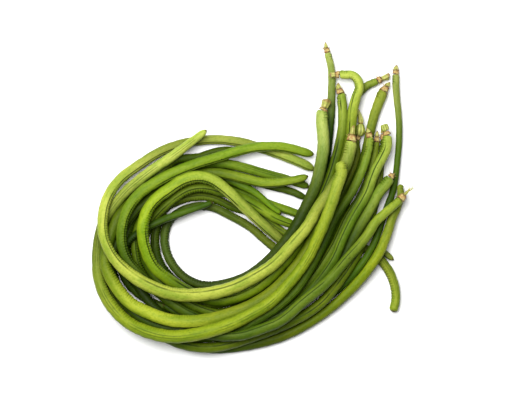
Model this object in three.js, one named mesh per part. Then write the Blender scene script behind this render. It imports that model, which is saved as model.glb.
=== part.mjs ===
// A coiled bunch of yardlong bean pods lying flat. Millimetres, +Z up, floor at z = 0.
import * as THREE from "three";

const gap = 0.8;        // clear space looked for between two strands that touch
const restGap = 0.3;    // the least clear space left between them
const lookAhead = 2.5;  // pairs this much further apart are watched too
const endGap = 0.35;    // clear space between a pod, its collar and its stalk
const crownLift = 0.6;  // stalks and collars stay this far off the floor
const sides = 8;        // flats round a pod, one of them facing straight down
const sampleStep = 2.5; // distance between the points used while settling
const ringEvery = 4;    // points from one ring of a pod to the next
const settleRounds = 480;
const clearRounds = 200;
const smoothRounds = 110; // the first clearing rounds also keep neighbouring rings in line
const flat = Math.cos(Math.PI / sides);

// Each strand runs from its stalk to its tip. A route point is [x, y, level]:
// where two strands cross, the one with the higher level lies on top.
// diameters are spread evenly from the head of the pod to its tip.
// crown lists what sits above the head: [piece, length, diameters].
const strands = {
  "01": {
    look: "light",
    crown: [],
    diameters: [10, 9.4, 9.2, 10, 11, 11, 10.4, 9, 8.8, 8.6, 6.5],
    route: [[74, 31, 9], [74, 22, 9], [70, 10, 9], [65.5, -5, 9], [60, -20, 8.5], [53.5, -35, 8.5],
      [46.5, -50, 8.5], [32.5, -70, 8.5], [14.5, -89, 8.5], [-2.5, -99.5, 8.5], [-19.5, -108, 8.5],
      [-36.5, -113.5, 8.5], [-53, -116.8, 8.5], [-69, -117.6, 8.5], [-88, -113.6, 8.5],
      [-106.5, -104.5, 8], [-122.5, -86.4, 7.5], [-129, -69, 7], [-129.8, -52, 6.2], [-128.2, -38, 6],
      [-125.5, -27, 5.5], [-118.5, -14.5, 6], [-104.5, 3.5, 7], [-87.5, 18, 7], [-69, 32, 7.5],
      [-53.5, 44.5, 9], [-38.5, 56.5, 9.5]],
  },
  "02": {
    look: "light",
    crown: [["stalk", 7, [4, 4.5]], ["collar", 5, [8, 9]]],
    diameters: [10, 9.6, 9.8, 10.4, 11, 10.8, 8.6, 8.8, 8.2, 7.8, 8.2, 8],
    route: [[84.8, 60, 9], [84.3, 52, 9], [83.4, 47.5, 8.5], [82, 37, 8.5], [78, 25, 8], [72.5, 15, 8],
      [65, 3, 8], [55.4, -10, 8], [47, -25, 8.5], [34.5, -40, 8.5], [18.7, -56.5, 9], [1.7, -67.6, 9],
      [-15.3, -76, 9], [-32.3, -80.8, 9], [-49.3, -82.9, 9], [-66.3, -82, 9], [-83.3, -76.9, 9],
      [-100.3, -67.6, 9], [-116.5, -53, 9], [-125.4, -36, 9], [-127, -22, 8.5], [-123.3, -2, 7.5],
      [-113, 14.5, 7], [-96, 28, 6.5], [-79, 38.7, 6], [-62, 45, 6], [-45, 48, 6], [-28, 48.5, 5.5],
      [-11, 46, 5], [6, 41.7, 4], [23, 37, 4], [40, 31, 4], [52, 26, 3.5], [59, 22.5, 3]],
  },
  "03": {
    look: "light",
    crown: [["stalk", 4, [3.5, 4]], ["collar", 3, [6.5, 7]]],
    diameters: [7.2, 8.4, 8.8, 9, 9.4, 10, 10.6, 10, 9, 7.5, 6.5, 6],
    route: [[66, 104.2, 8], [70, 104.2, 8], [73.5, 104.5, 8], [80, 105.2, 7.5], [85, 103.8, 7],
      [89, 99.5, 6.5], [90.3, 94, 6], [88, 87, 6], [85.5, 78, 6], [84, 68, 6], [83, 57, 6],
      [80.5, 45, 5.5], [76, 31, 5], [70, 17, 5], [62, 1, 5], [54.5, -15, 5], [48, -31, 6], [39, -49.5, 7],
      [31.5, -61.5, 7], [14.5, -80, 7], [-2.5, -91.5, 7], [-19.5, -98.6, 7], [-36.5, -103.3, 7],
      [-53.5, -105.4, 7], [-70.5, -104.2, 7], [-87.5, -98.2, 7], [-104.5, -88.8, 7], [-118, -72, 7],
      [-125, -56, 6.5], [-124.2, -44.6, 6], [-120.5, -32, 5.2], [-116, -18, 4], [-100.3, -2, 3.5],
      [-87.6, 8, 3.5], [-74.8, 20.5, 3.5], [-62, 30.5, 3.5], [-45, 34, 3.5], [-30, 41, 3.5],
      [-19.6, 43.4, 3], [-6, 44, 3]],
  },
  "04": {
    look: "mid",
    crown: [["stalk", 6.5, [8, 9, 5]], ["collar", 1.8, [8, 8]]],
    diameters: [10, 10, 9, 7.2, 7, 7.2, 7.4, 7, 6.8, 6.6, 7.8, 7.6],
    route: [[63, 82, 6], [59.5, 76, 6], [59, 72, 6], [58.8, 63, 6], [59.6, 52, 6], [59.3, 40, 6],
      [57.5, 30, 6.2], [55.5, 19, 6.4], [52, 6, 6.6], [47.3, -5, 6.8], [42.5, -15, 7], [36, -27, 7],
      [30, -35.5, 6.8], [22, -45, 6], [10, -57, 5], [-5, -68, 4], [-22, -74.5, 3], [-40, -77, 2.5],
      [-54, -73.5, 2], [-66, -64, 2], [-74, -52, 2], [-78, -38, 2], [-77.5, -26, 2], [-72.3, -16.5, 2],
      [-62, -9.5, 2], [-50, -6, 2], [-36.6, -6.6, 2], [-19.6, -14.5, 2], [-2.6, -24.3, 2], [12, -37, 1.5],
      [28, -49, 0.5], [44, -57, 0.5], [62, -61, 0.5], [80, -60, 0.5], [95, -55, 0.5], [106.5, -51, 0.5],
      [113.5, -57, 1.5], [119, -67, 1.5], [122, -78.6, 1.5], [122, -88, 1.5], [119.8, -97, 1.5]],
  },
  "05": {
    look: "dark",
    crown: [["stalk", 4.5, [3, 4]], ["collar", 3.5, [5, 6]]],
    diameters: [5.8, 6.6, 7.4, 7.6, 7.2, 7.4, 7.6, 7.4, 7.2, 6.5, 6],
    route: [[64, 131.5, 4], [65.2, 126.5, 4], [66.3, 122.5, 4], [68.4, 115, 4], [70, 102, 4],
      [69.6, 85, 4], [69, 70, 4], [67.8, 58, 4], [66, 42, 4], [62.5, 22, 4], [58, 5, 4], [51.5, -12, 4],
      [43.5, -27, 4], [34, -41, 4], [21, -56, 3.5], [6, -69.5, 3], [-12, -78.5, 3], [-30, -82.5, 3],
      [-46, -80, 2.5], [-60, -74.5, 3], [-73, -64, 3.2], [-81, -53, 3.5], [-85, -41, 3.5], [-86, -28, 3.5],
      [-83.3, -16, 3.5], [-78, -6, 3.5], [-68, -0.5, 3.5], [-57.8, 2.5, 3.5], [-49.3, 3.4, 3.5],
      [-40.8, 2.8, 3.5], [-32.3, 0.5, 3.5], [-23.8, -3.5, 3.5], [-15, -7.6, 3.5], [-3, -10.5, 3.5],
      [7.7, -14.5, 3.5], [16, -20, 3.5], [24.7, -26, 3.2], [33, -31, 3], [42, -36, 2.5]],
  },
  "06": {
    look: "light",
    crown: [["stalk", 4, [4.5, 5]], ["collar", 3.8, [7, 7]]],
    diameters: [8.2, 8.6, 8.4, 8.6, 9, 10, 10, 10, 10, 9, 8, 7, 5],
    route: [[71.3, 96.5, 6], [73.5, 91, 6], [74.6, 87, 6], [75.6, 79, 6], [76.3, 69, 5.5], [75.6, 57, 5.5],
      [73, 45, 5.5], [69.5, 32, 5], [65, 18, 4.5], [59.5, 4, 4.5], [53.5, -10, 4.5], [47, -24, 4.5],
      [40, -37, 4.5], [28, -54, 4.5], [14.5, -68.5, 4.5], [1.7, -78, 4.5], [-11, -84, 4.5],
      [-28, -87.5, 4.5], [-45, -84, 4.5], [-60, -77, 5], [-72.3, -69, 5], [-82, -61, 5.5], [-88, -52, 6],
      [-92, -40, 6.5], [-93.5, -27.6, 6.5], [-91, -14.5, 6.5], [-84, -2.8, 6.5], [-70.6, 8, 6.5],
      [-58, 15.8, 6.5], [-45, 18.3, 6.5], [-34, 15.5, 6.5], [-19.6, 5.3, 6.5], [-2.6, -10.2, 6.5],
      [14.5, -25, 6], [26.4, -34.4, 4], [38, -42.5, 0.5], [55, -48, 0.5], [75, -48, 0.5], [95, -44, 0.5],
      [110, -46.5, 0.5], [120.5, -54, 0.5]],
  },
  "07": {
    look: "mid",
    crown: [["stalk", 7, [6, 5.5, 4]], ["collar", 3.5, [7, 6.5]]],
    diameters: [6.5, 6.5, 7, 7.5, 7.5, 7.5, 7, 7.5, 7.5, 7],
    route: [[116, 103.8, 4], [112.5, 102.8, 4], [107, 100.5, 4], [104, 99.3, 4], [98, 96.8, 4],
      [92, 92.5, 4], [85.5, 86, 3.5], [80.5, 75, 3], [79, 60, 3], [76.5, 45, 3], [72.5, 30, 3],
      [67, 14, 3], [61.5, -2, 3], [55, -18, 3], [47, -34, 3], [36.5, -51, 3], [23, -67, 3], [7, -80, 3],
      [-11, -89.5, 3], [-32, -94.5, 3], [-54, -94, 3], [-73, -86.5, 3], [-88, -74, 3], [-97, -60, 3],
      [-100.5, -45, 3], [-99.5, -30, 3], [-94, -15, 3], [-84, -2, 3], [-71, 8.5, 3], [-58, 16, 3],
      [-45, 18.5, 3], [-32, 15, 3], [-20, 9.5, 3], [-8, 5, 3], [5, -0.5, 3], [15, -5, 3.5],
      [27.2, -9.2, 4], [35.7, -12, 4], [44, -15, 3.5], [51, -17.5, 3]],
  },
  "08": {
    look: "mid",
    crown: [["stalk", 3.5, [4.5, 5]], ["collar", 4.5, [6, 8]]],
    diameters: [8.5, 7.5, 7, 7, 7, 7, 7, 6.5, 6.5, 5],
    route: [[115, 98.6, 5], [112.3, 96, 5], [110, 91, 5], [108, 85, 5], [105.6, 80, 4.5], [103.8, 75, 4.5],
      [102, 70, 4.5], [100, 63, 4], [98, 52, 3], [95.5, 40, 2.5], [92, 26, 2.5], [86.5, 10, 2.5],
      [80.5, -6, 2.5], [73, -22, 2.5], [64, -39, 2.5], [53, -56, 2.5], [39, -72, 2.5], [22, -86, 2.5],
      [3, -96.5, 2.5], [-18, -102, 2.5], [-40, -102.5, 2.5], [-62, -97.5, 2.5], [-80, -88.5, 2.5]],
  },
  "09": {
    look: "dark",
    crown: [["stalk", 3.5, [4, 5.5]], ["collar", 3, [6, 6]]],
    diameters: [5.8, 5.2, 5, 5.5, 6, 6, 6.5, 6.5, 6, 5],
    route: [[118.6, 112, 4], [118.5, 108, 4], [118.2, 105, 4], [118.6, 99, 4], [119.6, 90, 4],
      [121.2, 79, 4], [122.7, 69, 4], [123.6, 57, 4], [123.4, 42, 4.5], [122.3, 30, 5], [121, 18, 5.5],
      [118.3, 5, 5.5], [114.5, -5, 5.5], [109.5, -17, 5], [106, -26, 4.5], [103, -34, 4], [98.5, -42, 3.5],
      [93, -50, 3], [86, -58, 2.5], [75, -70, 2], [60, -83, 2], [43, -95.5, 2], [24, -105.5, 2],
      [3, -113, 2], [-20, -117, 2], [-42, -116, 2], [-62, -110, 2]],
  },
  "10": {
    look: "mid",
    crown: [["stalk", 13, [1.6, 4]], ["knob", 10.5, [6, 10.5, 9, 6]], ["collar", 3, [5, 4.5]]],
    diameters: [4.8, 5, 5.5, 6, 6.5, 6.5, 6.5, 6, 6, 6, 4.5],
    route: [[90, 75, 8], [92.8, 67, 7.5], [93.5, 61.5, 7], [91, 51, 6.5], [89.6, 47.5, 5], [91, 43, 4.5],
      [90.3, 36, 4], [88.5, 29, 4], [85, 20, 4], [80.5, 10.5, 4], [75.5, 0, 4], [69.5, -11, 4],
      [63, -23, 3.5], [56, -36, 3], [48, -49, 2.5], [37, -64, 2.2], [23, -78, 2], [6, -89.5, 2],
      [-14, -97, 2], [-36, -100.5, 2], [-58, -99.5, 2], [-79, -93, 2], [-97, -81, 2], [-108, -67, 2],
      [-112.5, -53, 2], [-110.5, -42, 2.8], [-104, -33.5, 3.8], [-97, -28, 4.8], [-85, -21.5, 5.4],
      [-74.8, -17.2, 5.6], [-62, -12.8, 5.6], [-49.3, -8.6, 5.4], [-40, -5.6, 5.2], [-34, -3.4, 5.2]],
  },
  "11": {
    look: "dark",
    crown: [["stalk", 3.5, [4, 5]], ["collar", 3.5, [6, 6]]],
    diameters: [6.2, 7.2, 7.8, 8, 8, 7.5, 7.5, 7.5, 8, 8, 8, 7],
    route: [[97.8, 58.5, 6], [99.6, 54.5, 6], [99.8, 50, 5.5], [98.5, 42, 5.5], [96, 32, 5.5],
      [92.5, 22, 5.5], [88, 12, 5.5], [82.5, 2, 5.5], [76, -7.5, 5.5], [68.5, -20, 5.5], [60, -39, 5.5],
      [49, -60, 5.5], [36.6, -78.6, 5.5], [17, -95.6, 5.5], [2.6, -104, 5.5], [-8.5, -111, 5.5],
      [-22, -115, 5], [-42, -117.5, 4], [-63, -115, 2], [-84, -107.5, 1.5], [-102, -96.5, 1.5],
      [-116, -81, 1.5], [-123, -64, 1.5], [-124, -47, 1.5], [-119, -29, 1.5], [-109.5, -13, 1.5],
      [-97, 1, 2], [-83, 12, 2], [-66, 22, 3], [-50, 26.5, 3], [-40, 28, 3.5], [-23.8, 27.5, 4],
      [-6.8, 24.2, 4], [10.2, 19.8, 4], [27.2, 15.8, 3.5], [42, 11.5, 3], [50, 8.5, 3]],
  },
  "12": {
    look: "mid",
    crown: [["stalk", 4, [3.5, 4]], ["collar", 4, [5, 6]]],
    diameters: [5.6, 7, 7.6, 8, 7.8, 7.5, 7.5, 8, 8.5, 8.5, 8],
    route: [[104.8, 57, 5.5], [104.5, 52.5, 5.5], [104.2, 48, 5.5], [103.2, 39, 5], [100.5, 29, 5],
      [96.3, 15, 5], [91, 3, 5], [84, -8, 5], [76.7, -20, 5], [68.5, -40, 5], [57, -60, 5],
      [43.4, -78.6, 4.5], [26.4, -94, 4.5], [8, -101, 4.5], [-13, -103.5, 4], [-34, -101.5, 4],
      [-54, -94.5, 4], [-71, -84, 4], [-84, -71.5, 4], [-93.5, -58, 4], [-98, -43, 4], [-96.5, -28, 4],
      [-89.5, -14, 4], [-79, -2.5, 4], [-66.3, 6.8, 4], [-57.8, 10.6, 4], [-49.3, 12, 4], [-40.8, 11.3, 4],
      [-31, 8.7, 4], [-20, 5.5, 4.5], [-9.5, 1.8, 4.5], [0, -3.3, 4.5], [10, -9.6, 4.5], [20, -16, 4.5],
      [31, -21, 4], [42, -25, 3]],
  },
  "13": {
    look: "dark",
    crown: [["stalk", 5, [3.5, 4]], ["collar", 4.5, [5.5, 6]]],
    diameters: [5.6, 7.2, 8.2, 8.6, 8.6, 8.4, 8, 7.5, 7, 6.5, 6.5, 6],
    route: [[107.2, 59.5, 4.5], [108.4, 54, 4.5], [108.5, 49, 4.5], [107.8, 40, 4.5], [106.5, 28, 4.5],
      [105.5, 16, 4.2], [104, 4, 4.2], [101.5, -8, 4.5], [99, -18, 5], [95.5, -28, 5.2], [92, -39, 5.5],
      [88, -50, 5.8], [82, -60, 5.8], [75, -70, 5.8], [61.2, -87, 5.8], [50, -96, 5.8], [35.7, -104, 5.8],
      [14.5, -113, 5.8], [-2.6, -118.6, 5.8], [-19.6, -123.7, 5.8], [-36.6, -126, 5.6], [-52, -124, 5.5],
      [-66, -119.5, 5], [-84, -110.5, 4.5], [-100, -101, 4.5], [-113.5, -88.5, 4.5], [-121, -74, 4.5],
      [-125, -60, 4.5], [-125.5, -47, 4], [-121.5, -33, 3.5], [-113, -17, 3], [-101, -2, 2.5],
      [-87, 10, 2], [-70, 21.5, 2], [-52, 25, 2], [-34, 22, 2], [-18, 17.5, 2], [-2, 12.5, 2],
      [14, 9, 2.5], [23, 7, 3], [31.5, 5.1, 3], [40, 2.1, 3], [47, -1.5, 2.5]],
  },
  "14": {
    look: "mid",
    crown: [["stalk", 6, [3.5, 4.5]], ["collar", 4.5, [7.5, 7]]],
    diameters: [7.2, 8.2, 8.8, 8.6, 8, 7.5, 7.5, 7.5, 8, 8, 6.5],
    route: [[132.5, 6.5, 7.5], [128.5, 1.5, 7.5], [124.5, -2, 7.5], [118, -8, 7.5], [111, -14, 7.5],
      [104.5, -20, 7.5], [98, -30, 7.5], [90, -40, 7.5], [80.5, -50, 7.5], [71.8, -60, 7.5],
      [62.9, -70, 7.5], [42.5, -87, 7.5], [23, -103.3, 7.5], [6, -110, 7], [-9, -114.5, 6.5],
      [-28, -116, 5.5], [-48, -113.5, 5], [-62, -111.5, 5], [-76, -110.5, 5], [-90, -106, 5],
      [-101, -98.5, 5], [-111, -86.5, 5], [-117.5, -71, 4.5], [-118.5, -54, 4], [-115, -38, 3],
      [-107, -22, 3], [-95, -8, 3], [-81, 2.5, 3], [-66, 11.5, 3], [-50, 17.5, 3], [-35, 19.5, 4],
      [-23.8, 18.3, 5], [-15.3, 16.6, 5], [-6.8, 14.9, 5.2], [1.7, 12.8, 5.4], [10.2, 11.6, 5.4],
      [18.7, 11.9, 5.4], [27.2, 12.8, 5.4], [35.7, 14, 5.4], [44.2, 16.2, 5.4], [48, 17.5, 5.4]],
  },
  "15": {
    look: "mid",
    crown: [["knob", 6, [6.5, 8, 6.5]], ["collar", 3.5, [6.5, 7.5]]],
    diameters: [8.4, 8.2, 8, 8, 7.8, 7.6, 8, 9, 9, 9, 8.5, 8, 7.5],
    route: [[111.5, 62, 6.5], [113, 56, 6.5], [114.7, 51.5, 6.5], [114.6, 45, 6.5], [113, 39, 6.5],
      [108.6, 30, 6.5], [103.7, 20, 6.3], [100.3, 9, 6], [96, -1, 6], [90.5, -10, 6], [84.6, -20, 6],
      [77, -35, 6], [70.4, -50, 6], [64.4, -60, 5.5], [54, -72.5, 5], [40, -86, 5], [22, -97.5, 5],
      [2, -105.5, 5], [-18, -108, 5], [-38, -104.5, 4.5], [-56, -96.5, 5], [-73, -85.5, 5.5],
      [-88, -72.5, 6], [-100.3, -60, 6], [-108, -50, 6.5], [-111.5, -38, 6.5], [-111.5, -26, 6.5],
      [-108.5, -14, 6.5], [-102, -3, 6.5], [-93, 6, 6.5], [-79, 14.5, 6.5], [-66.3, 20.8, 6.5],
      [-49.3, 27.7, 6.5], [-32.3, 33, 6.5], [-15.3, 38.3, 6.5], [0, 42, 6.5], [14.5, 43, 6.5],
      [28, 42.3, 6.5], [42, 38.7, 6.5], [52.5, 36.2, 6.5]],
  },
  "16": {
    look: "mid",
    crown: [["collar", 3.5, [5, 6.5]]],
    diameters: [9, 8.8, 8.4, 8, 7.5, 7.5, 7.5, 7.5, 8, 7, 4],
    route: [[117, 21, 4.5], [114.5, 18, 4.5], [112.8, 14.5, 5], [108.7, 10, 5], [105, 5, 5], [99, -5, 5],
      [93.5, -15, 5], [87, -25, 4.5], [78, -40, 3.5], [67, -57, 3], [53, -73, 3], [36, -88, 3],
      [17, -100, 3], [-4, -107.5, 3], [-26, -109, 3], [-48, -105, 3], [-68, -97, 3], [-85, -85, 3],
      [-97, -71, 3], [-103.5, -55, 2], [-104, -38, 1.2], [-98, -21, 1], [-87, -6, 1], [-73, 5, 1],
      [-58, 12, 1], [-45, 15, 2], [-32, 15, 3.5], [-20, 13.2, 4.8], [-10, 9, 4.8], [0, 4, 4.8],
      [8, -1.8, 4.8], [15, -8, 4.8], [20, -12, 5], [24, -15, 5]],
  },
  "17": {
    look: "mid",
    crown: [],
    diameters: [5.4, 7.2, 7.8, 7.8, 7.8, 7.5, 7.5, 7, 7, 6.5, 5],
    route: [[124.3, 12, 3.5], [124.4, 4, 3.5], [123, -4, 3.5], [119.4, -10.6, 2], [113, -27.6, 1],
      [105.5, -44.6, 1], [93, -61.6, 1], [78.6, -78.6, 1.5], [62, -94, 4], [43.5, -106.5, 4],
      [25.5, -115, 4], [6, -120.5, 4], [-15, -124.5, 4], [-35, -125.5, 4], [-53, -121.5, 3],
      [-70, -114, 2.5], [-88, -104, 2]],
  },
};

const looks = {
  light: { color: 0xa6bd45, roughness: 0.5 },
  mid: { color: 0x7fa030, roughness: 0.5 },
  dark: { color: 0x55761f, roughness: 0.55 },
  stalk: { color: 0xa3b05c, roughness: 0.65 },
  knob: { color: 0x9fae4a, roughness: 0.6 },
  collar: { color: 0xb08a50, roughness: 0.85 },
};

function mixList(values, share) {
  const place = THREE.MathUtils.clamp(share, 0, 1) * (values.length - 1);
  const low = Math.min(Math.floor(place), values.length - 2);
  return THREE.MathUtils.lerp(values[low], values[low + 1], THREE.MathUtils.smoothstep(place - low, 0, 1));
}

// The pieces of one strand, end to end: their start, length and diameters.
function layOut(strand, total) {
  const pieces = [];
  let start = 0;
  for (const [kind, length, diameters] of strand.crown) {
    pieces.push({ kind, start, length, diameters });
    start += length + endGap;
  }
  pieces.push({ kind: "pod", start, length: total - start, diameters: strand.diameters });
  return pieces;
}

function radiusAt(pieces, s) {
  const piece = pieces.findLast((one) => s >= one.start) ?? pieces[0];
  return mixList(piece.diameters, (s - piece.start) / piece.length) / 2;
}

// Even samples along every route. Strands with a low level are free to slide sideways.
function sampleStrand(name, strand, index) {
  const toCurve = (points) => new THREE.CatmullRomCurve3(points, false, "centripetal");
  const levels = toCurve(strand.route.map(([x, y, level]) => new THREE.Vector3(x, y, level)));
  const plan = toCurve(strand.route.map(([x, y]) => new THREE.Vector3(x, y, 0)));
  const total = plan.getLength();
  const count = Math.round(total / sampleStep / ringEvery) * ringEvery;
  const pieces = layOut(strand, total);
  const samples = [];
  for (let i = 0; i <= count; i++) {
    const home = plan.getPointAt(i / count);
    const level = levels.getPoint(plan.getUtoTmapping(i / count)).z;
    const radius = radiusAt(pieces, i / count * total);
    const hold = THREE.MathUtils.clamp(Math.abs(level - 2.7) / 4, 0.08, 0.7);
    const point = home.clone().setZ(radius + level * 5);
    const lift = i / count * total < pieces.at(-1).start + 3 ? crownLift : 0;
    samples.push({ index, i, home, point, radius, hold, floor: radius * flat + lift });
  }
  return { name, strand, samples, pieces, step: total / count };
}

// Pairs of samples of different strands, or of far apart places on one strand.
function findPairs(all, clear) {
  const pairs = [];
  for (let a = 0; a < all.length; a++) {
    for (let b = a + 1; b < all.length; b++) {
      const p = all[a];
      const q = all[b];
      const reach = p.radius + q.radius + clear;
      if (Math.abs(p.point.x - q.point.x) > reach || Math.abs(p.point.y - q.point.y) > reach) continue;
      if (p.index === q.index && Math.abs(p.i - q.i) * sampleStep < 60) continue;
      if (p.point.distanceTo(q.point) < reach) pairs.push({ p, q, reach });
    }
  }
  return pairs;
}

// Neighbouring samples share their sideways shift and their height.
function soften(samples, amount) {
  const last = samples.length - 1;
  const before = samples.map(({ point, home }) => point.clone().sub(home));
  samples.forEach(({ point }, i) => {
    const middle = before[Math.max(i - 1, 0)].clone().add(before[Math.min(i + 1, last)]);
    point.addScaledVector(middle.multiplyScalar(0.5).sub(before[i]), amount);
  });
}

// Moves a point; one that is held gives way less sideways.
function shove(point, push, hold) {
  point.x += push.x * (1 - hold);
  point.y += push.y * (1 - hold);
  point.z += push.z;
}

// Lets the strands sink on to the floor and on to each other, sliding a little as they do.
function settle(rows) {
  const all = rows.flatMap((row) => row.samples);
  const push = new THREE.Vector3();
  const land = () => all.forEach((one) => { one.point.z = Math.max(one.point.z, one.floor); });
  let pairs = [];
  for (let round = 0; round < settleRounds; round++) {
    if (round % 8 === 0) pairs = findPairs(all, gap + lookAhead);
    for (const one of all) {
      one.point.z -= 0.3;
      one.point.x += (one.home.x - one.point.x) * one.hold * 0.3;
      one.point.y += (one.home.y - one.point.y) * one.hold * 0.3;
    }
    for (const { samples } of rows) for (let k = 0; k < 2; k++) soften(samples, 0.7);
    for (let sweep = 0; sweep < 3; sweep++) {
      for (const { p, q, reach } of pairs) {
        push.subVectors(p.point, q.point);
        const apart = push.length();
        const short = reach - lookAhead - apart;
        if (short <= 0) continue;
        push.multiplyScalar(short / 2 / Math.max(apart, 0.1));
        shove(p.point, push, p.hold);
        shove(q.point, push.negate(), q.hold);
      }
      land();
    }
  }
  clearChords(rows, all);
}

// Straightens every strand between its rings, then eases rings apart until every chord is clear.
function clearChords(rows, all) {
  const ringRows = rows.map(({ samples }) => samples.filter(({ i }) => i % ringEvery === 0)
    .map(({ point, home }) => ({ point, home })));
  for (const { samples } of rows) {
    const ringAt = (i) => samples[Math.min(i, samples.length - 1)].point;
    samples.forEach((one, i) => {
      const first = Math.min(Math.floor(i / ringEvery) * ringEvery, samples.length - 1 - ringEvery);
      one.ends = [ringAt(first), ringAt(first + ringEvery)];
      one.share = (i - first) / ringEvery;
    });
  }
  const follow = ({ ends, share }, target) => target.lerpVectors(ends[0], ends[1], share);
  for (const one of all) one.point = follow(one, new THREE.Vector3());
  const part = new THREE.Vector3();
  const ease = ({ ends, share, hold }, push, amount) => {
    const scale = amount / (share ** 2 + (1 - share) ** 2);
    shove(ends[0], part.copy(push).multiplyScalar(scale * (1 - share)), hold);
    shove(ends[1], part.copy(push).multiplyScalar(scale * share), hold);
  };
  const push = new THREE.Vector3();
  let pairs = [];
  for (let round = 0; round < clearRounds; round++) {
    if (round < smoothRounds) for (const rings of ringRows) soften(rings, 0.25);
    for (const one of all) follow(one, one.point);
    if (round % 20 === 0) pairs = findPairs(all, restGap + lookAhead);
    for (const { p, q, reach } of pairs) {
      push.subVectors(follow(p, p.point), follow(q, q.point));
      const short = reach - lookAhead - push.length();
      if (short <= 0) continue;
      push.normalize();
      ease(p, push, short / 2);
      ease(q, push, -short / 2);
    }
    for (const { ends, floor } of all) for (const end of ends) end.z = Math.max(end.z, floor);
  }
  for (const one of all) follow(one, one.point);
}

// A straight turned piece, bent so that its axis follows the settled strand.
function bentPiece({ kind, start, length, diameters }, { samples, step }) {
  const profile = [];
  const add = (s, scale) => profile.push(new THREE.Vector2(scale * mixList(diameters, s / length) / 2, s));
  const head = diameters[0] / 2;
  const tip = diameters.at(-1) / 2;
  const [first, last] = kind === "pod" ? [head * 1.2, length - tip * 2.4] : [0, length];
  add(0, 0);
  if (kind === "pod") {
    add(0, 0.6);
    add(head * 0.45, 0.92);
  }
  add(first, 1);
  for (let i = 0; i < samples.length; i += ringEvery) {
    const s = i * step - start;
    if (s > first + 2.5 && s < last - 2.5) add(s, 1);
  }
  add(last, 1);
  if (kind === "pod") {
    add(length - tip, 0.82);
    add(length - tip * 0.2, 0.45);
  }
  add(length, 0);
  const geometry = new THREE.LatheGeometry(profile, sides, Math.PI / sides);
  const position = geometry.attributes.position;
  const up = new THREE.Vector3(0, 0, 1);
  for (let i = 0; i < position.count; i++) {
    const { point, side } = placeAt(samples, (start + position.getY(i)) / step);
    point.addScaledVector(side, position.getX(i)).addScaledVector(up, position.getZ(i));
    position.setXYZ(i, point.x, point.y, point.z);
  }
  geometry.deleteAttribute("uv");
  geometry.computeVertexNormals();
  return geometry;
}

// The point at a sample number, whole or not, and the level direction square to the strand there.
function placeAt(samples, place) {
  const last = samples.length - 1;
  const at = (n) => {
    const whole = THREE.MathUtils.clamp(Math.floor(n), 0, last - 1);
    return new THREE.Vector3().lerpVectors(samples[whole].point, samples[whole + 1].point, n - whole);
  };
  const ahead = at(Math.min(place + 1, last)).sub(at(Math.max(place - 1, 0)));
  return { point: at(place), side: ahead.setZ(0).normalize().cross(new THREE.Vector3(0, 0, 1)) };
}

const group = new THREE.Group();
group.name = "yardlong_bean_bunch";
const rows = Object.entries(strands).map(([name, strand], index) => sampleStrand(name, strand, index));
settle(rows);

for (const row of rows) {
  for (const piece of row.pieces) {
    const look = looks[piece.kind === "pod" ? row.strand.look : piece.kind];
    const material = new THREE.MeshStandardMaterial({ ...look, metalness: 0 });
    const mesh = new THREE.Mesh(bentPiece(piece, row), material);
    mesh.name = `${piece.kind}_${row.name}`;
    group.add(mesh);
  }
}

// The middle of the bunch goes to x = y = 0 and its lowest face to z = 0.
const box = new THREE.Box3().setFromObject(group);
const middle = box.getCenter(new THREE.Vector3());
for (const mesh of group.children) mesh.geometry.translate(-middle.x, -middle.y, -box.min.z);

export default group;
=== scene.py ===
import math
import random

import bmesh
import bpy
import numpy as np
from mathutils import Matrix, Vector


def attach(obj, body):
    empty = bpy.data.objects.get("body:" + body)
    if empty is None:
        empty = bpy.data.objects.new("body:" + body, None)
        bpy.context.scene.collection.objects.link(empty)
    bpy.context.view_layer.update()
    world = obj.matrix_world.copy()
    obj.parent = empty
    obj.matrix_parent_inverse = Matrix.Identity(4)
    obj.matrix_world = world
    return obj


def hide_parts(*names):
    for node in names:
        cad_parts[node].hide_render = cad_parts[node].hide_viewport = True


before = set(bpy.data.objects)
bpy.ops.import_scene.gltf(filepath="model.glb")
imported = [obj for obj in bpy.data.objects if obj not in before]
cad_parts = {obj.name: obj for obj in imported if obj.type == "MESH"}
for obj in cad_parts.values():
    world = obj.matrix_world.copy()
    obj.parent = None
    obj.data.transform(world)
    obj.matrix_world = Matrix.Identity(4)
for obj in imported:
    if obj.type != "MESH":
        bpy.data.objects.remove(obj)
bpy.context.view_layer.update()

print("frame loaded:", len(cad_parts), "pieces")


# A socket in a material; adding or multiplying it adds the Math node that does so.
class Wire:
    def __init__(self, shader, socket):
        self.shader, self.socket = shader, socket

    def join(self, operation, *terms):
        return self.shader.node("ShaderNodeMath", {"operation": operation}, terms)

    def __add__(self, other): return self.join("ADD", self, other)
    def __radd__(self, other): return self.join("ADD", other, self)
    def __sub__(self, other): return self.join("SUBTRACT", self, other)
    def __rsub__(self, other): return self.join("SUBTRACT", other, self)
    def __mul__(self, other): return self.join("MULTIPLY", self, other)
    def __rmul__(self, other): return self.join("MULTIPLY", other, self)


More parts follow.
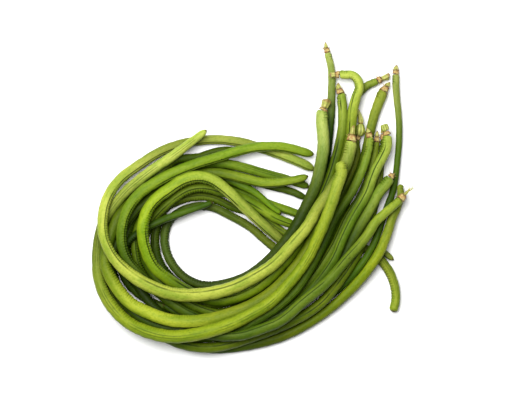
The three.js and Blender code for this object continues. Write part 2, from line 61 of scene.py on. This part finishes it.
# One material, and the nodes it is built from.
class Shader:
    def __init__(self, name):
        self.material = bpy.data.materials.new(name)
        self.material.use_nodes = True
        self.tree = self.material.node_tree
        self.surface = self.tree.nodes["Principled BSDF"]

    def feed(self, made, inputs):
        pairs = inputs.items() if isinstance(inputs, dict) else enumerate(inputs)
        for key, value in pairs:
            if isinstance(value, Wire):
                self.tree.links.new(value.socket, made.inputs[key])
            else:
                made.inputs[key].default_value = value

    def node(self, kind, settings, inputs, output=0):
        made = self.tree.nodes.new(kind)
        for key, value in settings.items():
            setattr(made, key, value)
        self.feed(made, inputs)
        return Wire(self, made.outputs[output])

    # 0 below low, 1 above high, eased between them
    def step(self, value, low, high):
        settings = {"interpolation_type": "SMOOTHSTEP"}
        return self.node("ShaderNodeMapRange", settings, [value, low, high, 0.0, 1.0])

    def mix(self, share, a, b, blend="MIX"):
        settings = {"data_type": "RGBA", "blend_type": blend}
        return self.node("ShaderNodeMix", settings, {0: share, 6: a, 7: b}, 2)

    # darkens or lightens by a colour
    def tint(self, share, skin, colour):
        return self.mix(share, skin, colour, "MULTIPLY")

    def noise(self, place, scale, detail=2.0, rough=0.5):
        inputs = {"Vector": place, "Scale": scale, "Detail": detail, "Roughness": rough}
        return self.node("ShaderNodeTexNoise", {}, inputs)

    def stretch(self, place, factors):
        return self.node("ShaderNodeVectorMath", {"operation": "MULTIPLY"}, [place, factors])

    def shift(self, place, offset):
        return self.node("ShaderNodeVectorMath", {"operation": "ADD"}, [place, offset])

    def parts(self, place):
        split = self.tree.nodes.new("ShaderNodeSeparateXYZ")
        self.tree.links.new(place.socket, split.inputs[0])
        return [Wire(self, socket) for socket in split.outputs]

    # where a point was while its piece was still straight: along, across and up
    def straight(self):
        return self.node("ShaderNodeAttribute", {"attribute_name": "straight"}, {}, 1)

    def amount(self, name):
        return self.node("ShaderNodeAttribute", {"attribute_name": name}, {}, 2)

    def bump(self, height, strength, distance):
        inputs = {"Height": height, "Strength": strength, "Distance": distance}
        self.feed(self.surface, {"Normal": self.node("ShaderNodeBump", {}, inputs)})


# A screen colour, 0 to 255, as the linear one that a shader takes.
def paint(red, green, blue):
    def linear(value):
        value /= 255
        return value / 12.92 if value <= 0.04045 else ((value + 0.055) / 1.055) ** 2.4
    return (linear(red), linear(green), linear(blue), 1.0)


packedSides = 8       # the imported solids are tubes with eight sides
restHeight = 0.00005  # how far above the floor a flattened underside stays
fullTurn = 6.28       # near enough for random angles


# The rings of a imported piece, in order: centres, radii. It starts at the end nearer to start,
# or for a pod at its upper right end, which is the stalk end of all of them.
def readRings(node, start=None):
    shape = bmesh.new()
    shape.from_mesh(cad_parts[node].data)
    bmesh.ops.remove_doubles(shape, verts=shape.verts, dist=1e-6)
    shape.verts.index_update()

    def layers(first):
        seen, found = {first}, [[first]]
        while found[-1]:
            nearby = {e.other_vert(v) for v in found[-1] for e in v.link_edges} - seen
            seen |= nearby
            found.append(sorted(nearby, key=lambda v: v.index))
        return found[:-1]

    poles = [v for v in shape.verts if len(v.link_edges) == packedSides]   # a fan closes each end
    rings = layers(poles[0])
    ends = [rings[0][0].co, rings[-1][0].co]
    if start is None:
        backwards = ends[0].x + ends[0].y < ends[1].x + ends[1].y
    else:
        backwards = (ends[0] - start).length > (ends[1] - start).length
    if backwards:
        rings = layers(rings[-1][0])
    centres = [sum((v.co for v in ring), Vector()) / len(ring) for ring in rings]
    radii = [sum((v.co - c).length for v in ring) / len(ring) for ring, c in zip(rings, centres)]
    shape.free()
    return centres, radii


# A smooth curve through the centres, for bending a straight piece.
def makePath(centres):
    bpy.ops.object.select_all(action="DESELECT")
    bpy.ops.curve.primitive_bezier_curve_add()
    path = bpy.context.object
    path.data.splines.clear()
    spline = path.data.splines.new("BEZIER")
    spline.bezier_points.add(len(centres) - 1)
    for point, centre in zip(spline.bezier_points, centres):
        point.co = centre
        point.handle_left_type = point.handle_right_type = "AUTO"
    path.data.dimensions = "3D"
    path.data.twist_mode = "Z_UP"
    path.data.resolution_u = 12
    path.data.use_path = True
    bpy.context.view_layer.update()
    return path, spline.calc_length()


# A tube of radius 1 along x, cut into rings, both ends closed with fans.
def makeTube(name, sides, rings):
    bpy.ops.object.select_all(action="DESELECT")
    bpy.ops.mesh.primitive_cylinder_add(vertices=sides, radius=1, depth=1, end_fill_type="TRIFAN",
                                        rotation=(0, math.pi / 2, 0))
    tube = bpy.context.object
    tube.name = tube.data.name = name
    bpy.ops.object.transform_apply(location=True, rotation=True, scale=True)
    cuts = rings - 1
    while cuts > 0:
        parts = min(cuts, 30)
        bpy.ops.object.mode_set(mode="EDIT")
        bpy.ops.mesh.select_mode(type="EDGE")
        bpy.ops.mesh.select_all(action="DESELECT")
        bpy.ops.object.mode_set(mode="OBJECT")
        points = tube.data.vertices
        for edge in tube.data.edges:
            a, b = (points[i].co for i in edge.vertices)
            edge.select = abs(a.x - b.x) > 1e-4
        bpy.ops.object.mode_set(mode="EDIT")
        bpy.ops.mesh.subdivide(number_cuts=parts)
        bpy.ops.object.mode_set(mode="OBJECT")
        cuts = (cuts - parts) // (parts + 1)
    return tube


def ringCount(tube):
    return len({round(v.co.x, 5) for v in tube.data.vertices})


# How far along the curve each centre lies.
def distances(centres, length):
    steps = [(b - a).length for a, b in zip(centres, centres[1:])]
    stations = np.concatenate([[0], np.cumsum(steps)])
    return stations * (length / stations[-1])


# Shapes a straight tube with radiusAt(along, angle, rim), where rim is false at the two end
# points, and bends it along the path. notes are values kept on its points, and addMore may
# join more parts to it while it is still straight.
def bendTube(tube, path, places, radiusAt, notes=None, addMore=None):
    count = len(tube.data.vertices)
    points = np.empty(count * 3)
    tube.data.vertices.foreach_get("co", points)
    points = points.reshape(-1, 3)
    order = np.rint((points[:, 0] + 0.5) * (len(places) - 1)).astype(int)
    along = np.asarray(places)[order]
    angle = np.arctan2(points[:, 2], points[:, 1])
    rim = np.hypot(points[:, 1], points[:, 2]) > 0.5
    along, radius = radiusAt(along, angle, rim)
    across, up = radius * np.cos(angle) * rim, radius * np.sin(angle) * rim
    tube.data.vertices.foreach_set("co", np.stack([along, across, up], 1).ravel())
    for name, value in (notes or {}).items():
        layer = tube.data.attributes.new(name, "FLOAT", "POINT")
        layer.data.foreach_set("value", value(along, angle))
    tube.data.update()
    if addMore:
        addMore(tube)
    straight = np.empty(len(tube.data.vertices) * 3)
    tube.data.vertices.foreach_get("co", straight)
    layer = tube.data.attributes.new("straight", "FLOAT_VECTOR", "POINT")
    layer.data.foreach_set("vector", straight)
    bpy.ops.object.select_all(action="DESELECT")
    tube.select_set(True)
    bpy.context.view_layer.objects.active = tube
    bend = tube.modifiers.new("bend", "CURVE")
    bend.object = path
    bend.deform_axis = "POS_X"
    bpy.ops.object.modifier_apply(modifier=bend.name)
    for vertex in tube.data.vertices:
        vertex.co.z = max(vertex.co.z, restHeight)   # flattened where it rests on the floor
    bpy.ops.object.mode_set(mode="EDIT")
    bpy.ops.mesh.select_all(action="SELECT")
    bpy.ops.mesh.normals_make_consistent(inside=False)
    bpy.ops.object.mode_set(mode="OBJECT")
    bpy.ops.object.shade_smooth()
    bpy.data.objects.remove(path)


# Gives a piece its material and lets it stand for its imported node.
def finishPiece(piece, node, material):
    piece.data.materials.clear()
    piece.data.materials.append(material)
    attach(piece, "root")
    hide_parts(node)


# Colours are head, body and tip; the dark body and tip colours of pods that lie low in the pile
# are partly their own deeper green and partly painted shade. suture is where the seam lies round
# the head, in turns from the left side over the top; twist is how many turns it makes in a metre,
# seam is how strongly it shows, and plain is how far from the head it starts.
podLooks = {
    "01": {"colours": [(142, 154, 53), (128, 143, 30), (169, 180, 79)],
           "suture": 0.72, "twist": 0.05, "seam": 0.6, "plain": 0.09},
    "02": {"colours": [(190, 196, 100), (158, 167, 64), (188, 196, 91)],
           "suture": 0.3, "twist": 0.1, "seam": 0.5, "plain": 0.11},
    "03": {"colours": [(164, 176, 74), (155, 166, 46), (108, 127, 22)],
           "suture": 0.37, "twist": -1, "seam": 0.9, "plain": 0.03},
    "04": {"colours": [(156, 168, 86), (92, 110, 38), (137, 148, 43)],
           "suture": 0.6, "twist": 0.2, "seam": 0.4, "plain": 0.1},
    "05": {"colours": [(155, 166, 85), (52, 88, 16), (140, 157, 53)],
           "suture": 0.1, "twist": 0.3, "seam": 0.4, "plain": 0.06},
    "06": {"colours": [(150, 168, 62), (130, 152, 27), (145, 156, 65)],
           "suture": 0.3, "twist": 0.12, "seam": 0.9, "plain": 0},
    "07": {"colours": [(152, 164, 62), (150, 170, 50), (138, 164, 37)],
           "suture": 0.15, "twist": 0.4, "seam": 0.5, "plain": 0.08},
    "08": {"colours": [(150, 154, 61), (112, 140, 26), (90, 115, 20)],
           "suture": 0.45, "twist": -0.3, "seam": 0.5, "plain": 0.08},
    "09": {"colours": [(140, 148, 72), (89, 119, 20), (84, 110, 32)],
           "suture": 0.05, "twist": 0.3, "seam": 0.3, "plain": 0.1},
    "10": {"colours": [(168, 176, 64), (138, 160, 46), (66, 90, 15)],
           "suture": 0.3, "twist": 0.2, "seam": 0.6, "plain": 0.03},
    "11": {"colours": [(146, 162, 62), (116, 144, 34), (133, 158, 44)],
           "suture": 0.62, "twist": 0.15, "seam": 0.5, "plain": 0.05},
    "12": {"colours": [(168, 182, 62), (124, 146, 36), (142, 164, 44)],
           "suture": 0.36, "twist": -0.2, "seam": 0.7, "plain": 0.02},
    "13": {"colours": [(158, 172, 66), (140, 158, 38), (92, 112, 28)],
           "suture": 0.2, "twist": 0.35, "seam": 0.6, "plain": 0.02},
    "14": {"colours": [(141, 155, 51), (88, 108, 26), (121, 139, 38)],
           "suture": 0.3, "twist": 0.2, "seam": 0.7, "plain": 0.06},
    "15": {"colours": [(154, 168, 68), (96, 118, 28), (115, 138, 32)],
           "suture": 0.3, "twist": 0.15, "seam": 0.9, "plain": 0.005},
    "16": {"colours": [(126, 144, 52), (66, 86, 18), (100, 129, 22)],
           "suture": 0.6, "twist": -0.4, "seam": 0.9, "plain": 0.07},
    "17": {"colours": [(156, 164, 58), (132, 145, 25), (112, 136, 38)],
           "suture": 0.4, "twist": 0.3, "seam": 0.4, "plain": 0.06},
}
podShape = {
    "sides": 28,
    "plump": 1.05,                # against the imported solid, which leaves room between pods
    "ringGap": 0.0011,
    "seedGap": (0.0105, 0.0155),  # from one seed's bulge to the next
    "seedsFrom": 0.02,            # from the head to the first seed
    "seedsEnd": 0.012,            # no seed is nearer to the tip
    "seedSwell": 0.05,
    "seedWidth": 0.0042,
    "flatten": 0.045,             # how much narrower across the seams
    "ridge": 0.035,               # the raised seams
    "waver": 0.045,               # slow changes of thickness
    "grainy": 0.018,              # shallow dents
    "foldGap": 0.0036,            # wrinkles inside sharp bends
    "foldDepth": 0.15,
    "foldsFrom": 9,               # how sharp a bend starts to fold, in radians a metre
    "foldsGrow": 14,              # and how much sharper it is where they are deepest
    "headDome": 0.9,              # length of the rounded ends, in radii
    "tipDome": 2.6,
    "bluntDome": 1.1,
}
bare = ("01", "17")   # these have lost their stalks
bluntTips = ("04",)

podTints = {
    "cloud": (0.52, 0.66, 0.38, 1),
    "patch": (1.2, 1.12, 1.0, 1),
    "grain": (0.6, 0.72, 0.42, 1),
    # fold and bend are painted shade, in the wrinkles and on the inner side of sharp bends
    "fold": (0.42, 0.5, 0.3, 1),
    "bend": (0.62, 0.68, 0.5, 1),
    # a painted highlight along the belly seam's ridge
    "band": (1.22, 1.16, 1.2, 1),
    # painted shade, where a pod lies under its neighbours
    "deep": (0.24, 0.28, 0.13, 1),
}
# The painted shade that a pod gets where it lies under its neighbours.
podShade = {
    "fade": 0.014,      # the distance over which a neighbour's shade fades away
    "gone": 1.35,       # it is gone at this many times that distance, and full one less
    "deepest": 0.009,   # how far below a neighbour's top is darkest
}


ringsOf = {number: readRings("pod_" + number) for number in podLooks}


# How far each ring of a pod lies under its neighbours: 0 in the open, 1 well below them.
# The pod's skin is darkened by it, as painted shade.
def depthsOf(number):
    centres, radii = ringsOf[number]
    others = [pair for other, rings in ringsOf.items() if other != number for pair in zip(*rings)]
    places = np.array([tuple(c) for c, _ in others])
    tops = places[:, 2] + np.array([r for _, r in others])
    depths = []
    for centre, radius in zip(centres, radii):
        gap = np.hypot(places[:, 0] - centre.x, places[:, 1] - centre.y)
        nearness = np.clip(podShade["gone"] - gap / podShade["fade"], 0, 1)
        below = (tops - centre.z - radius) * nearness
        depths.append(np.clip(below.max() / podShade["deepest"], 0, 1))
    return np.convolve(np.pad(depths, 2, mode="edge"), [0.1, 0.25, 0.3, 0.25, 0.1], "valid")


def podMaterial(number, length):
    look = podLooks[number]
    shader = Shader("skin" + number)
    head, body, tip = (paint(*colour) for colour in look["colours"])
    straight = shader.shift(shader.straight(), (float(number) * 0.7, 0.0, 0.0))
    along, across, up = shader.parts(shader.straight())
    seam = shader.node("ShaderNodeMath", {"operation": "ARCTAN2"}, [up, across])
    seam = seam - (look["suture"] + look["twist"] * along) * (2 * math.pi)
    facing = shader.node("ShaderNodeMath", {"operation": "COSINE"}, [seam])

    cloudy = shader.noise(shader.stretch(straight, (1, 5, 5)), 28, 3.0)
    patchy = shader.noise(shader.stretch(straight, (1, 1.6, 1.6)), 190, 3.0, 0.6)
    grain = shader.noise(shader.stretch(straight, (0.5, 1, 1)), 800, 4.0, 0.65)
    broken = shader.noise(shader.stretch(straight, (1, 0.1, 0.1)), 24, 3.0)

    crease = shader.amount("crease")
    waving = (along + patchy * 0.0022) * (2 * math.pi / 0.0023)
    folds = shader.node("ShaderNodeMath", {"operation": "SINE"}, [waving])

    skin = shader.mix(shader.step(along, 0.01, 0.075), head, body)
    skin = shader.mix(shader.step(along, length * 0.55, length * 0.8), skin, tip)
    skin = shader.tint(shader.step(cloudy, 0.40, 0.66) * 0.75, skin, podTints["cloud"])
    skin = shader.tint(shader.step(patchy, 0.45, 0.7) * 0.4, skin, podTints["patch"])
    skin = shader.tint(shader.step(grain, 0.46, 0.66) * 0.65, skin, podTints["grain"])
    # painted shade in the wrinkles and on the creased inner side of sharp bends
    skin = shader.tint(shader.step(folds, 0.1, 1.0) * crease * 0.8, skin, podTints["fold"])
    skin = shader.tint(crease * 0.45, skin, podTints["bend"])

    # the belly seam is one dark line in a painted highlight along its raised ridge, the back seam
    # two fine lines
    shown = shader.step(along, look["plain"] * 0.5, look["plain"] + 0.01)
    band = shader.step(facing, math.cos(0.5), math.cos(0.24)) * shown * (0.6 * look["seam"])
    line = shader.step(facing, math.cos(0.15), math.cos(0.05))
    line = line * shader.step(broken, 0.36, 0.5) * shown
    back = 0.0 - facing
    outer = shader.step(back, math.cos(0.3), math.cos(0.22))
    pair = outer - shader.step(back, math.cos(0.16), math.cos(0.1))
    pair = pair * shader.step(broken, 0.4, 0.54) * shown
    # painted highlight along the belly seam
    skin = shader.tint(band, skin, podTints["band"])
    skin = shader.mix(line * min(1, 0.4 + 0.6 * look["seam"]), skin, paint(38, 56, 6))
    skin = shader.mix(pair * (0.25 + 0.55 * look["seam"]), skin, paint(46, 66, 8))

    # painted shade where the pod lies under its neighbours
    skin = shader.tint(shader.amount("depth") * 0.95, skin, podTints["deep"])

    # small scars, and a browned end
    spots = shader.noise(shader.stretch(straight, (1, 1.4, 1.4)), 420, 1.0)
    thick = shader.noise(straight, 14, 1.0)
    scar = shader.step(spots, 0.71, 0.76) * shader.step(thick, 0.46, 0.56)
    skin = shader.mix(scar * 0.75, skin, paint(48, 58, 16))
    browned = shader.step(along, length - 0.0022, length - 0.0008) * 0.8
    skin = shader.mix(browned, skin, paint(70, 56, 26))

    height = grain * 0.5 + patchy * 0.8 - folds * crease * 0.9 - line * 0.8 - pair * 0.4
    shader.bump(height, 0.9, 0.0006)
    roughness = shader.noise(straight, 260, 2.0) * 0.2 + 0.38
    finish = {"Base Color": skin, "Roughness": roughness, "Specular IOR Level": 0.08}
    shader.feed(shader.surface, finish)
    return shader.material


def makePod(number):
    node = "pod_" + number
    look = podLooks[number]
    draw = random.Random(number)
    centres, radii = ringsOf[number]
    path, length = makePath(centres)

    # distance of every ring along the pod, and how sharply the pod turns there
    stations = distances(centres, length)
    heading = np.unwrap([math.atan2((b - a).y, (b - a).x) for a, b in zip(centres, centres[1:])])
    turn = np.gradient(heading, (stations[1:] + stations[:-1]) / 2)
    turn = np.convolve(np.pad(turn, 1, mode="edge"), [0.25, 0.5, 0.25], "valid")
    between = (stations[1:] + stations[:-1]) / 2

    # dense rings in the rounded ends, even ones between
    tipDome = podShape["bluntDome"] if number in bluntTips else podShape["tipDome"]
    domeHead, domeTip = radii[3] * podShape["headDome"], radii[-4] * tipDome
    middle = int((length - domeHead - domeTip) / podShape["ringGap"])
    headPart = [domeHead * (1 - math.cos(i / 9 * math.pi / 2)) for i in range(9)]
    tipPart = [length - domeTip + domeTip * math.sin(i / 12 * math.pi / 2) for i in range(13)]
    middlePart = list(np.linspace(domeHead, length - domeTip, middle + 2)[:-1])
    wanted = headPart + middlePart + tipPart

    tube = makeTube("pod" + number, podShape["sides"], len(wanted) - 1)
    total = ringCount(tube)
    places = np.interp(np.linspace(0, 1, total), np.linspace(0, 1, len(wanted)), wanted)

    body = slice(3, -3)
    bodyAt, bodyRadius = stations[body], np.asarray(radii)[body]
    seeds, at = [], podShape["seedsFrom"]
    while at < length - podShape["seedsEnd"]:
        seeds.append((at, draw.uniform(0.5, 1.1)))
        at += draw.uniform(*podShape["seedGap"])
    waves = [(draw.uniform(15, 60), draw.uniform(0, fullTurn), draw.uniform(0.4, 1))
             for _ in range(5)]
    folds = [(draw.uniform(0.7, 1.4), draw.uniform(0, fullTurn)) for _ in range(3)]
    dents = [(draw.uniform(300, 1300), draw.randint(-3, 3), draw.uniform(0, fullTurn))
             for _ in range(6)]

    def turning(along):
        return np.interp(along, between, turn)

    def crease(along, angle):
        sharp = turning(along)
        inner = np.clip(np.sign(sharp) * np.cos(angle), 0, 1) ** 1.2
        folded = (np.abs(sharp) - podShape["foldsFrom"]) / podShape["foldsGrow"]
        return inner * np.clip(folded, 0, 1)

    def radiusAt(along, angle, rim):
        radius = np.interp(along, bodyAt, bodyRadius)
        width = podShape["seedWidth"]
        swell = sum(size * np.exp(-((along - at) / width) ** 2) for at, size in seeds)
        seam = angle - 2 * math.pi * (look["suture"] + look["twist"] * along)
        side = 0.5 - 0.5 * np.cos(2 * seam)
        waver = sum(size * np.sin(along * rate + phase) for rate, phase, size in waves) / len(waves)
        near = np.cos(seam)
        shape = podShape["plump"] + podShape["seedSwell"] * (swell - 0.6) * (0.35 + 0.65 * side)
        shape += podShape["flatten"] * (0.5 - side) + podShape["waver"] * waver
        ridges = np.clip((near - 0.93) / 0.07, 0, 1) + 0.6 * np.clip((-near - 0.95) / 0.05, 0, 1)
        shape += podShape["ridge"] * ridges
        pits = sum(np.sin(along * rate + count * angle + phase) for rate, count, phase in dents) / 3
        shape += podShape["grainy"] * pits
        foldRate = 2 * math.pi / podShape["foldGap"]
        wave = sum(np.sin(along * rate * foldRate + phase) for rate, phase in folds) / 3
        shape -= podShape["foldDepth"] * crease(along, angle) * np.clip(wave, 0, 1)
        headShare = np.clip(along / domeHead, 0, 1)
        blunt = 0.0 if number in bare else 0.62
        shape *= blunt + (1 - blunt) * np.sqrt(np.clip(1 - (1 - headShare) ** 2, 0, 1))
        tipShare = np.clip((length - along) / domeTip, 0, 1)
        shape *= np.clip(1 - (1 - tipShare) ** 2.4, 0, 1) ** 0.62
        return along, radius * shape

    # how far each ring lies under its neighbours, kept for the painted shade
    depths = depthsOf(number)

    def depth(along, angle):
        return np.interp(along, stations, depths)

    bendTube(tube, path, places, radiusAt, {"crease": crease, "depth": depth})
    finishPiece(tube, node, podMaterial(number, length))
    return centres[0]


headOf = {}
for number in podLooks:
    headOf[number] = makePod(number)
print("pods:", len(headOf))


crownShape = {
    "stalk": {"sides": 28, "rings": 18, "ribs": 5, "ribDepth": 0.22, "rough": 0.07,
              "ragged": 0.0, "colours": [(184, 182, 96), (146, 152, 62)]},
    "knob": {"sides": 36, "rings": 24, "ribs": 8, "ribDepth": 0.13, "rough": 0.05,
             "ragged": 0.0, "colours": [(176, 182, 84), (134, 148, 48)]},
    "collar": {"sides": 36, "rings": 14, "ribs": 5, "ribDepth": 0.02, "rough": 0.035,
               "ragged": 0.0008, "colours": [(182, 172, 102), (156, 114, 64)]},
}

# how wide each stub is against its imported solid, and how much of that is left at its end
stubShape = {
    "02": (1.0, 0.8), "03": (1.15, 1.1), "04": (1.05, 0.95), "05": (0.95, 0.6), "06": (1.0, 0.75),
    "07": (1.0, 0.9), "08": (0.95, 0.6), "09": (0.95, 0.7), "10": (1.25, 1.0), "11": (0.95, 0.7),
    "12": (0.9, 0.6), "13": (0.9, 0.7), "14": (0.75, 0.55),
}
twigShape = {"length": 0.0085, "thick": 0.0011, "count": 3}   # on bean 14 only


def crownMaterial(kind):
    shader = Shader(kind + "Surface")
    straight = shader.straight()
    light, dark = (paint(*colour) for colour in crownShape[kind]["colours"])
    streaks = shader.noise(shader.stretch(straight, (0.25, 1, 1)), 900, 3.0)
    blotches = shader.noise(straight, 330, 3.0, 0.6)
    if kind == "collar":
        skin = shader.mix(shader.step(blotches, 0.38, 0.62), light, dark)
        skin = shader.mix(shader.step(streaks, 0.52, 0.7) * 0.6, skin, paint(104, 68, 36))
        skin = shader.mix(shader.amount("rim") * 0.85, skin, paint(106, 62, 30))
        roughness = 0.8
    elif kind == "knob":
        skin = shader.mix(shader.step(blotches, 0.35, 0.7), light, dark)
        # painted shade in the grooves between the ribs
        skin = shader.mix(shader.amount("rib"), skin, paint(84, 92, 34))
        roughness = 0.6
    else:
        skin = shader.mix(shader.step(blotches, 0.35, 0.65), light, dark)
        # painted shade in the grooves between the ribs
        skin = shader.mix(shader.amount("rib") * 0.6, skin, paint(92, 96, 34))
        skin = shader.mix(shader.step(streaks, 0.5, 0.7) * 0.6, skin, paint(126, 94, 48))
        skin = shader.mix(shader.amount("rim") * 0.7, skin, paint(122, 84, 44))
        roughness = 0.65
    shader.bump(streaks * 0.6 + blotches * 0.6, 0.7, 0.0004)
    shader.feed(shader.surface, {"Base Color": skin, "Roughness": roughness})
    return shader.material


crownSurface = {kind: crownMaterial(kind) for kind in crownShape}

shredShape = {"length": 0.0028, "width": 0.0016, "thick": 0.00016, "curl": 0.9, "perCollar": (4, 7)}


# One dry papery shred, its root at 0 and its point along x.
def makeShred():
    bpy.ops.object.select_all(action="DESELECT")
    bpy.ops.mesh.primitive_grid_add(x_subdivisions=7, y_subdivisions=5, size=1)
    shred = bpy.context.object
    for vertex in shred.data.vertices:
        x, y = vertex.co.x + 0.5, vertex.co.y
        width = shredShape["width"] * (1 - x ** 1.7 + 0.04) * (1 + 0.25 * math.sin(9 * x))
        rise = shredShape["curl"] * shredShape["length"] * 0.5 * x ** 2
        vertex.co = (shredShape["length"] * x, y * width, rise - 6 * abs(y) ** 2 * width * 0.25)
    layer = shred.data.attributes.new("rim", "FLOAT", "POINT")
    layer.data.foreach_set("value", [v.co.x / shredShape["length"] for v in shred.data.vertices])
    solid = shred.modifiers.new("thickness", "SOLIDIFY")
    solid.thickness = shredShape["thick"]
    bpy.ops.object.modifier_apply(modifier=solid.name)
    return shred


shredMaster = makeShred()


# Puts shreds round both rims of a straight collar, pointing outwards.
def addShreds(collar, length, radius, draw):
    copies = []
    for _ in range(draw.randint(*shredShape["perCollar"])):
        copy = shredMaster.copy()
        copy.data = shredMaster.data.copy()
        bpy.context.collection.objects.link(copy)
        towardsPod = draw.random() < 0.45
        tilt = draw.uniform(-0.54, -0.09)
        turn = Matrix.Rotation(draw.uniform(0, fullTurn), 4, "X") @ Matrix.Translation(
            (length * (0.8 if towardsPod else 0.2), 0, radius * 0.93))
        turn = turn @ Matrix.Rotation(0 if towardsPod else math.pi, 4, "Z")
        turn = turn @ Matrix.Rotation(tilt, 4, "Y")
        copy.data.transform(turn @ Matrix.Scale(draw.uniform(0.55, 1.1), 4))
        copies.append(copy)
    bpy.ops.object.select_all(action="DESELECT")
    for copy in copies:
        copy.select_set(True)
    collar.select_set(True)
    bpy.context.view_layer.objects.active = collar
    bpy.ops.object.join()


# Thin crooked twigs that stick out of the end of a straight stub.
def addTwigs(stub, draw):
    twigs = []
    for index in range(twigShape["count"]):
        bpy.ops.object.select_all(action="DESELECT")
        radius = twigShape["thick"] / 2
        bpy.ops.mesh.primitive_cylinder_add(vertices=10, radius=radius, depth=twigShape["length"])
        twig = bpy.context.object
        bpy.ops.object.mode_set(mode="EDIT")
        bpy.ops.mesh.subdivide(number_cuts=6)
        bpy.ops.object.mode_set(mode="OBJECT")
        phase, lean = draw.uniform(0, fullTurn), (index - 1) * 0.45
        size = draw.uniform(0.7, 1)
        for vertex in twig.data.vertices:
            share = vertex.co.z / twigShape["length"] + 0.5
            taper = (1.15 - 0.75 * share) * (1 + 0.2 * math.sin(share * 14 + phase))
            crook = twigShape["thick"] * 0.8 * math.sin(share * 5 + phase)
            reach = share * twigShape["length"] * size
            side = vertex.co.y * taper + crook * share + reach * math.sin(lean)
            rise = vertex.co.x * taper + crook * 0.5 * share
            vertex.co = (0.0015 - reach * math.cos(lean), side, rise)
        twigs.append(twig)
    bpy.ops.object.select_all(action="DESELECT")
    for twig in twigs:
        twig.select_set(True)
    stub.select_set(True)
    bpy.context.view_layer.objects.active = stub
    bpy.ops.object.join()


def makeCrown(node):
    kind, number = node.split("_")
    values = crownShape[kind]
    draw = random.Random(node)
    pod = headOf[number]
    centres, radii = readRings(node, pod)
    centres, radii = centres[::-1], radii[::-1]   # from the far end towards the pod
    path, length = makePath(centres)
    stations = distances(centres, length)
    solid = slice(1, -1)                          # the first and last rings are single points
    tube = makeTube(kind + number, values["sides"], values["rings"])
    total = ringCount(tube)
    edge = min(length * 0.2, 0.0007)
    inside = np.linspace(edge, length - edge, total - 4)
    places = np.concatenate([[0, edge * 0.35], inside, [length - edge * 0.35, length]])
    rough = [(draw.randint(2, 6), draw.uniform(0, fullTurn), draw.uniform(0.3, 1))
             for _ in range(4)]
    turns = draw.uniform(0, fullTurn)

    def ribbing(along, angle):
        return 0.5 + 0.5 * np.cos(values["ribs"] * angle + turns + along * 120)

    def radiusAt(along, angle, rim):
        radius = np.interp(along, stations[solid], np.asarray(radii)[solid])
        lumps = sum(size * np.sin(count * angle + phase + along * 700)
                    for count, phase, size in rough) / 3
        shape = 1 + values["ribDepth"] * (ribbing(along, angle) - 0.6) + values["rough"] * lumps
        ends = np.minimum(along, length - along) / edge
        shape *= 0.72 + 0.28 * np.sqrt(np.clip(1 - (1 - np.clip(ends, 0, 1)) ** 2, 0, 1))
        if kind == "knob":
            swollen = np.sin(np.clip(along / length, 0, 1) * math.pi) ** 0.5
            shape *= 0.75 + 0.25 * swollen
        if kind == "stalk":
            wide, left = stubShape[number]
            slant = 0.5 * wide * np.cos(angle - turns) * np.clip(1 - along / (length * 0.8), 0, 1)
            shape *= wide * (left + (1 - left) * np.clip(along / length, 0, 1))
            return along + slant * radius * rim, radius * shape
        if kind == "collar":
            shape *= 0.76 + 0.24 * along / length
        tear = lumps + 0.4 * np.sin(9 * angle + turns)
        torn = values["ragged"] * tear * (2 * along / length - 1)
        return along + torn * rim, radius * shape

    def rim(along, angle):
        return np.clip(1 - np.minimum(along, length - along) / (length * 0.22), 0, 1)

    # how far into a groove between ribs a point lies, for painted shade
    def rib(along, angle):
        return (1 - ribbing(along, angle)) ** 4

    def addMore(straightPiece):
        if kind == "collar":
            addShreds(straightPiece, length, max(radii[solid]), draw)
        elif node == "stalk_14":
            addTwigs(straightPiece, draw)

    bendTube(tube, path, places, radiusAt, {"rim": rim, "rib": rib}, addMore)
    finishPiece(tube, node, crownSurface[kind])


crowns = sorted(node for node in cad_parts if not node.startswith("pod_"))
for node in crowns:
    makeCrown(node)
bpy.data.objects.remove(shredMaster)
print("crowns:", len(crowns))


stage = {
    "floorSize": 6.0,
    "floorColour": (0.9, 0.9, 0.9, 1),
    "worldStrength": 0.17,
    "keyPower": 54.0,
    "keySize": 1.4,
    "keyPlace": (-0.35, 0.45, 1.5),
    "cameraLens": 250.0,
    "frameWidth": 0.4352,
    "frameMiddle": (0.0039, -0.0020, 0.012),
}

bpy.ops.object.select_all(action="DESELECT")
bpy.ops.mesh.primitive_plane_add(size=stage["floorSize"])
floor = bpy.context.object
floor.name = "floor"
floorShader = Shader("paleFloor")
floorFinish = {"Base Color": stage["floorColour"], "Roughness": 0.9, "Specular IOR Level": 0.1}
floorShader.feed(floorShader.surface, floorFinish)
floor.data.materials.append(floorShader.material)

world = bpy.data.worlds.new("studio")
world.use_nodes = True
world.node_tree.nodes["Background"].inputs["Color"].default_value = (1, 1, 1, 1)
world.node_tree.nodes["Background"].inputs["Strength"].default_value = stage["worldStrength"]
bpy.context.scene.world = world

bpy.ops.object.light_add(type="AREA", location=stage["keyPlace"])
key = bpy.context.object
key.name = "key"
key.data.shape = "DISK"
key.data.size = stage["keySize"]
key.data.energy = stage["keyPower"]
key.rotation_euler = (Vector(stage["keyPlace"]) * -1).to_track_quat("-Z", "Y").to_euler()

middle = Vector(stage["frameMiddle"])
away = stage["cameraLens"] / 36 * stage["frameWidth"]
bpy.ops.object.camera_add(location=middle + Vector((0, 0, away)), rotation=(0, 0, 0))
camera = bpy.context.object
camera.data.lens = stage["cameraLens"]
camera.data.sensor_width = 36
camera.data.clip_start = 0.01
bpy.context.scene.camera = camera
bpy.context.scene.view_settings.view_transform = "Standard"
